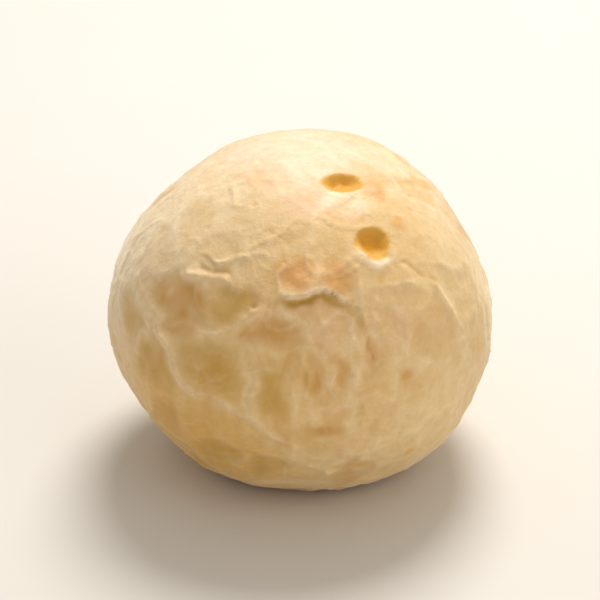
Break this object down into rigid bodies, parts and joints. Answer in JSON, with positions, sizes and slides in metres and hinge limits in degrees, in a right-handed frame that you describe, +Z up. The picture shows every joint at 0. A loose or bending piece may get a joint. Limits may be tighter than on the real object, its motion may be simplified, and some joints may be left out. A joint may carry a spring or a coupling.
{
  "type": "pao de queijo cheese ball",
  "caption": "Round baked cheese bread ball with a wrinkled pale golden crust, small blow holes and a flat spot on which it rests.",
  "frame": {"origin": "on the surface that the ball rests on, at the middle of the ball's width and depth", "axes": "+Z up from the flat spot, -Y towards the front with the blow holes, +X to the right of that front"},
  "size_m": [0.0536, 0.0548, 0.0461],
  "materials": {
    "crust": "satin"
  },
  "bodies": {
    "root": {"cheese_ball": "crust"}
  },
  "joints": []
}
